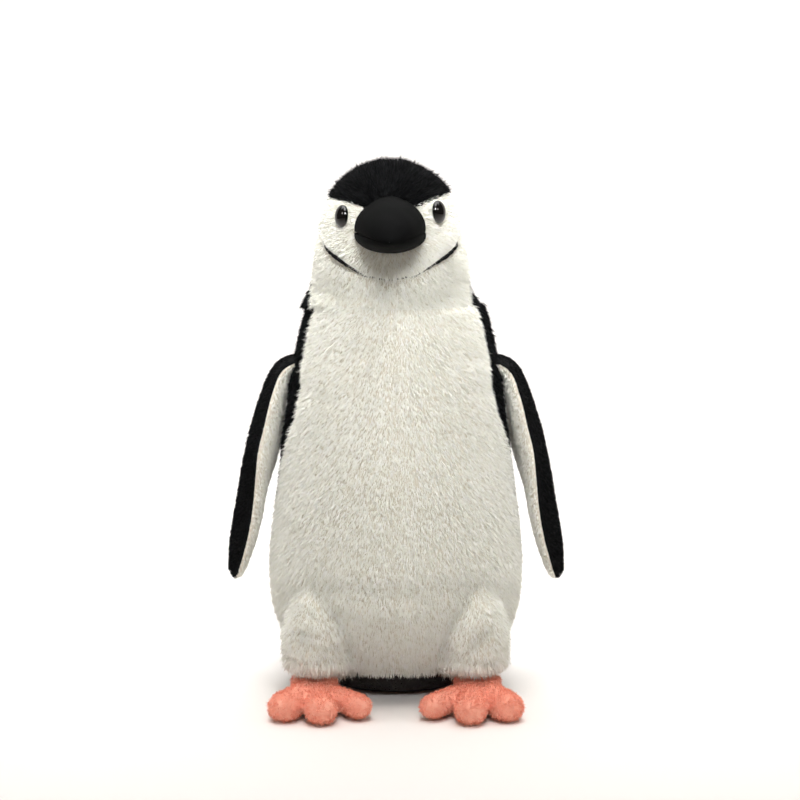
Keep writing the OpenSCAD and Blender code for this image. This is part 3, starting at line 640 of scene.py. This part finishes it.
for side, sign in sideSign.items():
    def facePlace(u, v):
        a = mix(-90, 18, u if sign > 0 else 1 - u)
        z = mix(strapHeight(a) + 0.8, crownHeight(a if sign > 0 else 180 - a), v)
        return headPoint(z, a if sign > 0 else 180 - a, seamDistance(faceLook, u, v))

    faceSkin = makePatch(f"{side}FaceSkin", faceLook, facePlace)
    attach(faceSkin, neckBlend, [f"{side}_face_panel"])
    faceFur = growPile(f"{side}FacePile", faceSkin, facePile | {"seed": facePile["seed"] + sign})
    attach(faceFur, neckBlend)


def throatPlace(u, v):  # the ends follow the nape's edge, the top follows the strap
    share, z = 2 * u - 1, 250.0
    for _ in range(4):
        z = lookUp(strapLine, abs(share) * (90 + lookUp(napeSeam, z)))
    z = mix(headBottomZ, z - 0.8, v)
    return headPoint(z, -90 + share * (90 + lookUp(napeSeam, z)), seamDistance(throatLook, u, v))


def crownPlace(u, v):
    a = 360 * u - 90
    return headPoint(mix(crownHeight(a), topZ - 0.02, 1 - (1 - v) ** 2), a, crownLook["tall"] * v)


def napePlace(u, v):
    a = mix(-5, 185, u)
    z = mix(headBottomZ - napeLook["overlap"], crownHeight(a), v)
    edge = lookUp(napeSeam, z)
    return headPoint(z, mix(edge, 180 - edge, u), seamDistance(napeLook, u, v))


throatLook["comb"] = lambda p, normal: Vector((0.35 * p.x / 40 + 0.15, -0.1, -1.0)) * 1.1
throatLook["pile"] = lambda p, u, v: (  # longest a little to the toy's left
    shortAtSeam(throatLook, u, v) * mix(0.72, 1, bell(p.x - headMiddle - 12, 26)))
crownLook["comb"] = crownComb
crownLook["pile"] = lambda p, u, v: crownLook["length"] * mix(1.2, 1, step(0, 6, crownLook["tall"] * v))
napeLook["comb"] = lambda p, normal: Vector((0, 0.1, -1.2))
napeLook["pile"] = lambda p, u, v: shortAtSeam(napeLook, u, v)
for name, look, pile, place, node, slot in (
        ("throat", throatLook, throatPile, throatPlace, "throat_panel", "white_plush"),
        ("crown", crownLook, crownPile, crownPlace, "crown_panel", "black_plush"),
        ("nape", napeLook, napePile, napePlace, "nape_panel", "black_plush")):
    skin = makePatch(name + "Skin", look, place)
    attach(skin, neckBlend, [node])
    attach(growPile(name + "Pile", skin, pile), neckBlend)

strapLook = {"cols": 300, "rows": 8, "cloth": [strapThread], "closed": True, "width": 1.35, "depth": 1.0,
             "sink": 1.9, "boldest": {True: 47, False: 40}, "fade": (58, 72)}


def strapPlace(u, v):  # an uneven cord of stitches that dips under the pile in places
    a = mix(-196, 16, u)
    turn = 2 * math.pi * v
    boldest = strapLook["boldest"][math.cos(math.radians(a)) > 0]  # degrees from the front, on each side
    bold = 1.3 * bell(fromFront(a) - boldest, 12) - 1.1 * bell(fromFront(a), 26)
    bold += 0.9 * lump(Vector((a, 0, 0)), 3.5, 5) - 0.8 * step(*strapLook["fade"], fromFront(a))
    height = strapHeight(a) + 0.6 * lump(Vector((a, 5, 0)), 5, 5)
    p = headPoint(height, a, 99, strapLook["depth"] - strapLook["sink"] * min(bold, 1.1))
    out = Vector((p.x - headMiddle, p.y, 0)).normalized()
    wide = strapLook["width"] / 2 * (1 + 0.75 * min(max(bold, -0.3), 1.3))
    return p + out * 0.7 * math.sin(turn) + Vector((0, 0, wide * math.cos(turn)))


# The head's filling is slimmer near the neck than its CAD shape, because the fabric twists round it
fillingLook = {"slim": 0.9, "tall": 24}
bm = bmesh.new()
bm.from_mesh(next(p.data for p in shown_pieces() if p.name == "head_stuffing"))
bmesh.ops.remove_doubles(bm, verts=bm.verts[:], dist=0.02 * mm)
for v in bm.verts:
    share = mix(fillingLook["slim"], 1, step(headBottomZ, headBottomZ + fillingLook["tall"], v.co.z / mm))
    v.co.x = headMiddle * mm + (v.co.x - headMiddle * mm) * share
    v.co.y *= share
headFilling = makeObject("headFilling", bm, [polyesterFilling])
attach(headFilling, neckBlend, ["head_stuffing"])

strap = makePatch("chinStrap", strapLook, strapPlace)
attach(strap, neckBlend, ["chin_strap"])
print("head made")

# Beak: two velour shells with a pinched mouth seam between them
beakLook = {"cols": 36, "rows": 40, "cloth": [beakVelour], "closed": True,
            "reach": -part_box("upper_beak")[0].y / mm,
            "side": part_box("upper_beak")[1].x / mm - headMiddle + 0.7, "mouthZ": 261.0,
            "up": 18.8, "down": 10.9, "droop": 3.4, "round": 0.7, "ridge": 0.16, "overhang": 0.9,
            "pinch": 0.5, "shorter": 0.5, "sunk": 3.5}


def faceReach(x, z):
    side, fore, _ = sectionAt(headSections, z)
    return fore * math.sqrt(1 - min(abs(x) / side, 0.98) ** 2)


def beakPoint(u, t, lower):  # u is round the half section and back along the mouth, t runs to the tip
    side, rounded = -1 if lower else 1, beakLook["round"]
    reach = beakLook["reach"] - (beakLook["shorter"] if lower else 0)
    taper = (1 - t ** 2.0) ** 0.58 * (1 - 0.08 * t)
    turn = math.pi * u / rounded
    c, h = -1 + 2 * (u - rounded) / (1 - rounded), 0.0
    if u < rounded:
        c, h = math.cos(turn), math.sin(turn)
    wide = beakLook["side"] * taper * (1 - 0.04 * (1 - h) ** 4)
    if not lower:
        wide *= 1 - beakLook["ridge"] * h * h  # the ridge is narrower than the mouth
    up = side * beakLook["down" if lower else "up"] * (1 - 0.12 * t)
    z = beakLook["mouthZ"] - beakLook["droop"] * t * t + up * h * taper + 0.15 * side
    if u < rounded:  # the seam is pinched, and the upper half overhangs the tip
        z += side * beakLook["pinch"] * step(0, 0.3, h) - (0 if lower else beakLook["overhang"] * t ** 4)
    root = faceReach(beakLook["side"] * c, beakLook["mouthZ"] + up * h) - beakLook["sunk"]
    p = Vector((headMiddle + wide * c, -mix(root, reach, t), z))
    return p + Vector((0, 0, 0.3 * lump(p, 9, 8)))


for lower, name, node in ((False, "upperBeak", "upper_beak"), (True, "lowerBeak", "lower_beak")):
    beak = makePatch(name, beakLook, lambda u, v: beakPoint(u, 1 - (1 - v) ** 1.6, lower))
    attach(beak, "head", [node])

# Eyes: polished domes, sunk in the pile
eyeLook = {"radius": 6.2, "height": 3.3, "segments": 48, "rings": 32, "place": (26.2, -33.4, 270.3),
           "higher": 1.2, "outward": (0.9, -0.42, 0.1), "back": -0.3}
for side, sign in sideSign.items():
    bm = bmesh.new()
    bmesh.ops.create_uvsphere(bm, u_segments=eyeLook["segments"], v_segments=eyeLook["rings"], radius=1)
    bmesh.ops.bisect_plane(bm, geom=bm.verts[:] + bm.edges[:] + bm.faces[:],
                           plane_co=(0, 0, eyeLook["back"]), plane_no=(0, 0, -1), clear_outer=True)
    bmesh.ops.holes_fill(bm, edges=[e for e in bm.edges if e.is_boundary])
    (x, y, z), outward = eyeLook["place"], Vector(eyeLook["outward"])
    outward.x *= sign
    place = Vector((headMiddle + sign * x, y, z + eyeLook["higher"] * sign)) * mm
    turn = outward.normalized().to_track_quat("Z", "Y").to_matrix().to_4x4()
    shape = Matrix.Diagonal((eyeLook["radius"] * mm, eyeLook["radius"] * mm, eyeLook["height"] * mm, 1))
    bmesh.ops.transform(bm, matrix=Matrix.Translation(place) @ turn @ shape, verts=bm.verts[:])
    for f in bm.faces:
        f.smooth = len(f.verts) < 5
    eye = makeObject(f"{side}EyeDome", bm, [blackEye])
    attach(eye, "head", [f"{side}_eye"])
print("beak and eyes made")

# Flippers: X and Z of the spine, shares of thickness, width and turn, shift in Y, share of the bend
flipperRows = [
    [52, 187, 0.5, 0.62, 0, 3, 0], [58.5, 185.6, 0.58, 0.66, 0, 3, 0], [64.5, 181, 0.68, 0.74, 0, 3, 0],
    [68.2, 172, 0.8, 0.86, 0, 2, 0.3], [70.8, 163, 0.9, 0.94, 0, 1, 0.6],
    [73.6, 151, 0.96, 0.98, 0, 1, 0.95], [76.8, 138, 1, 1, 0, 1, 1], [80.2, 122, 1, 1, -0.4, 2, 0.95],
    [83.6, 104, 0.98, 0.96, -0.8, 3, 0.6], [87, 88, 0.9, 0.87, -1, 4, 0.2],
    [90, 74.5, 0.76, 0.7, -1, 5, 0], [92, 65, 0.54, 0.46, -1, 6, 0], [93, 60.5, 0.05, 0.06, -1, 6.5, 0]]
flipperLook = {"cols": 30, "rows": 74, "thick": 16.5, "chord": 45.0, "yaw": 11.0, "bend": 8.0,
               "wide": 45, "tall": 125, "seams": "lr", "length": 2.4, "seamLength": 0.7, "crowd": 1.15}
outerPile = {"tints": blackFibres, "perSquareMm": 3.4, "fibres": 4, "width": 0.16, "splay": 0.4,
             "spread": 0.25, "shake": 0.25, "shortest": 0.7, "gloss": 0.15, "seed": 71}
innerPile = outerPile | {"tints": ivoryFibres, "seed": 83}
flipperFilling = {"cols": 36, "rows": 50, "closed": True, "cloth": [polyesterFilling], "inset": 1.6,
                  "first": 3.7, "last": len(flipperRows) - 2.0}


def flipperPoint(s, a, seamGap, inset=0.0):  # s counts rows from the shoulder, a is degrees round
    r, q, p = along(flipperRows, s), along(flipperRows, s + 0.05), along(flipperRows, s - 0.05)
    run = Vector((q[0] - p[0], 0, q[1] - p[1])).normalized()
    yaw = math.radians(flipperLook["yaw"] * r[4])
    chord = Vector((-math.sin(yaw), math.cos(yaw), 0))
    out = run.cross(chord).normalized()
    wide = max(flipperLook["chord"] * r[3] / 2 - 1.2 - inset, 0.4)
    thick = max(flipperLook["thick"] * r[2] / 2 - 1.0 - inset, 0.3)
    c, d = math.cos(math.radians(a)), math.sin(math.radians(a))
    at = Vector((r[0], r[5], r[1])) + chord * c * wide
    at += out * (d * thick - flipperLook["bend"] * r[6] * max(c, 0) ** 2)
    swell = 0.5 * lump(at, 18, 9) + 0.25 * lump(at, 7, 10)
    return at + (chord * c + out * d) * (swell - 0.7 * bell(seamGap, 1.6))


for side, sign in sideSign.items():
    shoulderBlend = ("torso", f"{side}_flipper", (sign * 0.0575, 0.003, 0.187),
                     (sign * 0.071, 0.003, 0.168))
    for name, start, cloth, pile, slot in (("Outer", 0, blackBacking, outerPile, "black_short_plush"),
                                           ("Inner", 180, ivoryShadedBacking, innerPile, "white_short_plush")):
        def flipperPlace(u, v):  # a panel runs round half the flipper, with closer rows at the tip
            share = u if sign > 0 else 1 - u
            row = (len(flipperRows) - 1) * (1 - (1 - v) ** flipperLook["crowd"])
            p = flipperPoint(row, start + 180 * share, seamDistance(flipperLook, share, v))
            return Vector((sign * p.x, p.y, p.z))

        look = flipperLook | {"cloth": [cloth], "towards": Vector((sign if start == 0 else -sign, 0, 0))}
        look["comb"] = lambda p, normal: Vector((0.3 * sign, 0.15, -1.2))
        look["pile"] = lambda p, u, v: shortAtSeam(flipperLook, u, v)
        skin = makePatch(f"{side}Flipper{name}Skin", look, flipperPlace)
        attach(skin, shoulderBlend, [f"{side}_flipper_{name.lower()}"])
        attach(growPile(f"{side}Flipper{name}Pile", skin, pile | {"seed": pile["seed"] + sign}),
               shoulderBlend)

    def fillingPlace(u, v):  # starts below the shoulder's seam, and is closed at both ends
        first, last = flipperFilling["first"], flipperFilling["last"]
        share = min(max((v - 0.04) / 0.92, 0), 1)
        p = flipperPoint(mix(first, last, share), 360 * u, 99, flipperFilling["inset"])
        if v < 0.02 or v > 0.98:
            row = along(flipperRows, first if v < 0.5 else last)
            p = Vector((row[0], row[5], row[1]))
        return Vector((sign * p.x, p.y, p.z))

    filling = makePatch(f"{side}FlipperFilling", flipperFilling, fillingPlace)
    attach(filling, f"{side}_flipper", [f"{side}_flipper_stuffing"])
print("flippers made")

# Feet: an ankle, an instep and three fat toes, melted into one skin
footLook = {"toes": [(-42, 37.0, 7.2), (-8, 35.6, 8.5), (27, 32.5, 9.0)],  # angle, reach and radius
            "body": [((0, 1, 9), (12, 9.5, 9)), ((0, -1, 13.5), (13, 8, 7.5)),
                     ((0, -5.5, 8.6), (13, 8.5, 7.3))],  # places and radii
            "toeSteps": 12, "flat": 0.86, "voxel": 1.1, "smoothing": 5, "skin": 1.8, "length": 1.7,
            "soleLength": 0.25}
footPile = {"tints": coralFibres, "perSquareMm": 3.6, "fibres": 3, "width": 0.2, "splay": 0.5,
            "spread": 0.3, "shake": 0.35, "shortest": 0.6, "gloss": 0.15, "seed": 91}


def toeBlobs(angle, reach, radius):  # a toe is a ridge that sinks towards its tip
    turn, made = math.radians(angle), []
    for k in range(footLook["toeSteps"]):
        share = 0.2 + 0.8 * k / (footLook["toeSteps"] - 1)
        wide = radius * mix(0.86, 1, share)
        place = (reach * share * math.sin(turn), -reach * share * math.cos(turn), mix(9.6, 7.4, share))
        made.append((place, (wide, wide, wide * footLook["flat"])))
    return made


def meltedFoot(sign):  # round lumps that are remeshed into one smooth skin
    bm = bmesh.new()
    for (x, y, z), radii in footLook["body"] + [b for toe in footLook["toes"] for b in toeBlobs(*toe)]:
        at = Matrix.Translation(Vector((sign * (ankle.x + x), ankle.y + y, z)) * mm)
        size = Matrix.Diagonal((radii[0] * mm, radii[1] * mm, radii[2] * mm, 1))
        bmesh.ops.create_uvsphere(bm, u_segments=28, v_segments=18, radius=1, matrix=at @ size)
    blobs = makeObject("footBlobs", bm, [])
    remesh = blobs.modifiers.new("melt", "REMESH")
    remesh.mode, remesh.voxel_size = "VOXEL", footLook["voxel"] * mm
    graph = bpy.context.evaluated_depsgraph_get()
    melted = bpy.data.meshes.new_from_object(blobs.evaluated_get(graph))
    bpy.data.objects.remove(blobs)
    bm = bmesh.new()
    bm.from_mesh(melted)
    for _ in range(footLook["smoothing"]):
        bmesh.ops.smooth_vert(bm, verts=bm.verts[:], factor=0.5, use_axis_x=True, use_axis_y=True,
                              use_axis_z=True)
    return bm


for side, sign in sideSign.items():
    bm = meltedFoot(sign)
    inner = bm.copy()
    inner.normal_update()
    for v in inner.verts:
        v.co -= v.normal * footLook["skin"] * mm
        v.co.z = max(v.co.z, footLook["skin"] * mm)
    filling = makeObject(f"{side}FootFilling", inner, [polyesterFilling])
    attach(filling, f"{side}_foot", [f"{side}_foot_stuffing"])
    for v in bm.verts:  # the sole is flat
        p = v.co / mm
        v.co.z = max(v.co.z + 0.35 * lump(p, 7, 12) * mm, 0.25 * mm)
    bm.normal_update()
    combs = [Vector((0.1 * sign, -0.8, -0.3)) for v in bm.verts]
    piles = [footLook["soleLength" if v.co.z < 1.2 * mm else "length"] for v in bm.verts]
    for f in bm.faces:
        f.smooth = True
    foot = makeObject(f"{side}FootSkin", bm, [coralFleece])
    markPile(foot, combs, piles)
    attach(foot, f"{side}_foot", [f"{side}_foot_top", f"{side}_foot_sole"])
    footFur = growPile(f"{side}FootPile", foot, footPile | {"seed": footPile["seed"] + sign})
    attach(footFur, f"{side}_foot")
print("feet made")

# Tail: a small flat cone
tailLook = {"cols": 40, "rows": 26, "closed": True, "cloth": [blackBacking], "length": 3.0,
            "rootY": 56.8, "rootZ": 17.0, "reach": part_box("tail_top")[1].y / mm, "side": 17.0,
            "thick": 5.0, "droop": 11}
tailPile = backPile | {"perSquareMm": 3.0, "width": 0.16, "seed": 97}


def tailPlace(u, v):  # t is 0 at the body's skin and 1 at the tip
    t = -0.2 + 1.2 * v
    far = max(t, 0)
    taper = (1 - far ** 2.6) if t > 0 else 1
    rounding = math.sqrt(max(1 - (t / 0.205) ** 2, 0)) if t < 0 else (1 - 0.45 * far) * taper
    a = math.radians(360 * u)
    y = mix(tailLook["rootY"], tailLook["reach"] - 1.5, t)
    wide = tailLook["side"] * (1 - 0.55 * far) * taper * (1 if t > -0.195 else 0)
    z = tailLook["rootZ"] - tailLook["droop"] * far + tailLook["thick"] * rounding * math.sin(a)
    return Vector((-wide * math.cos(a), y, z))


tailLook["comb"] = lambda p, normal: Vector((0.2 * p.x / 15, 1.2, -0.4))
tailLook["pile"] = lambda p, u, v: tailLook["length"]
tail = makePatch("tailSkin", tailLook, tailPlace)
attach(tail, "tail", ["tail_top", "tail_underside"])
attach(growPile("tailPile", tail, tailPile), "tail")

# The parts inside, and the label, keep their CAD shapes
cadCloths = {"stuffing": polyesterFilling, "pellet_bag": bagNylon, "pellet_fill": pelletPlastic,
             "washer": washerPlastic, "label": labelSatin}
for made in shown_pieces():
    for word, cloth in cadCloths.items():
        if word in made.name:
            made.data.materials.clear()
            made.data.materials.append(cloth)

# Stage: a pale sweep, soft lights and the camera
sweepLook = {"colour": "#f8f5f2", "wide": 6.0, "front": -2.5, "back": 2.0, "high": 3.0, "bend": 0.8}
sweepPaint, sweepTree = newMaterial("paleMattPaper")  # studio paper: even, with no shine
paper = addNode(sweepTree, "ShaderNodeBsdfPrincipled",
                {"Base Color": srgb(sweepLook["colour"]), "Roughness": 0.9})
addNode(sweepTree, "ShaderNodeOutputMaterial", {}, {"Surface": (paper, 0)})
bm = bmesh.new()
bmesh.ops.create_grid(bm, x_segments=1, y_segments=40, size=0.5)
for v in bm.verts:
    t = v.co.y + 0.5
    run = t * (sweepLook["back"] - sweepLook["front"] + sweepLook["high"]) + sweepLook["front"]
    over = run - (sweepLook["back"] - sweepLook["bend"])
    turn = min(max(over / sweepLook["bend"], 0), math.pi / 2)
    y = min(run, sweepLook["back"] - sweepLook["bend"]) + sweepLook["bend"] * math.sin(turn)
    z = sweepLook["bend"] * (1 - math.cos(turn)) + max(over - sweepLook["bend"] * math.pi / 2, 0)
    v.co = (v.co.x * sweepLook["wide"], y, z)
for f in bm.faces:
    f.smooth = True
sweep = makeObject("sweep", bm, [sweepPaint])
sweep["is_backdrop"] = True

lights = {  # place, aim, size in metres, power in watts, spread in degrees and colour
    "key": ((0.05, -0.85, 0.9), (0, 0, 0.36), 0.4, 0.87, 32, "#ffffff"),
    "overhead": ((0.0, -0.25, 1.4), (0, 0, 0.1), 0.8, 1.6, 60, "#fffdfa"),
    "left": ((-1.0, -0.5, 0.8), (0, 0, 0.3), 0.25, 0.1, 40, "#fffaf2"),
    "right": ((1.0, -0.6, 0.8), (0, 0, 0.3), 0.25, 0.1, 40, "#fffaf2"),
    "backdrop": ((0.0, 0.9, 1.9), (0, 1.9, 0.7), 2.2, 50, 180, "#ffffff")}
for name, (place, aim, size, power, spread, colour) in lights.items():
    lamp = bpy.data.lights.new(name, "AREA")
    lamp.size, lamp.energy, lamp.spread, lamp.color = size, power, math.radians(spread), srgb(colour)[:3]
    lampObject = bpy.data.objects.new(name, lamp)
    lampObject.location = place
    lampObject.rotation_euler = (Vector(aim) - Vector(place)).to_track_quat("-Z", "Y").to_euler()
    scene.collection.objects.link(lampObject)
world = bpy.data.worlds.new("studio")
scene.world = world
world.use_nodes = True
world.node_tree.nodes["Background"].inputs["Color"].default_value = srgb("#ffeee2")
world.node_tree.nodes["Background"].inputs["Strength"].default_value = 0.12

cameraLook = {"lens": 85, "distance": 1.07, "elevation": 7.5, "aimX": 0.0023, "aimZ": 0.1644}
cam = bpy.data.cameras.new("camera")
cam.lens, cam.sensor_width = cameraLook["lens"], 36
camera = bpy.data.objects.new("camera", cam)
lift = math.radians(cameraLook["elevation"])
camera.location = (cameraLook["aimX"], -cameraLook["distance"] * math.cos(lift),
                   cameraLook["aimZ"] + cameraLook["distance"] * math.sin(lift))
camera.rotation_euler = (math.pi / 2 - lift, 0, 0)
scene.collection.objects.link(camera)
scene.camera = camera
scene.view_settings.view_transform = "Standard"
print("stage made")
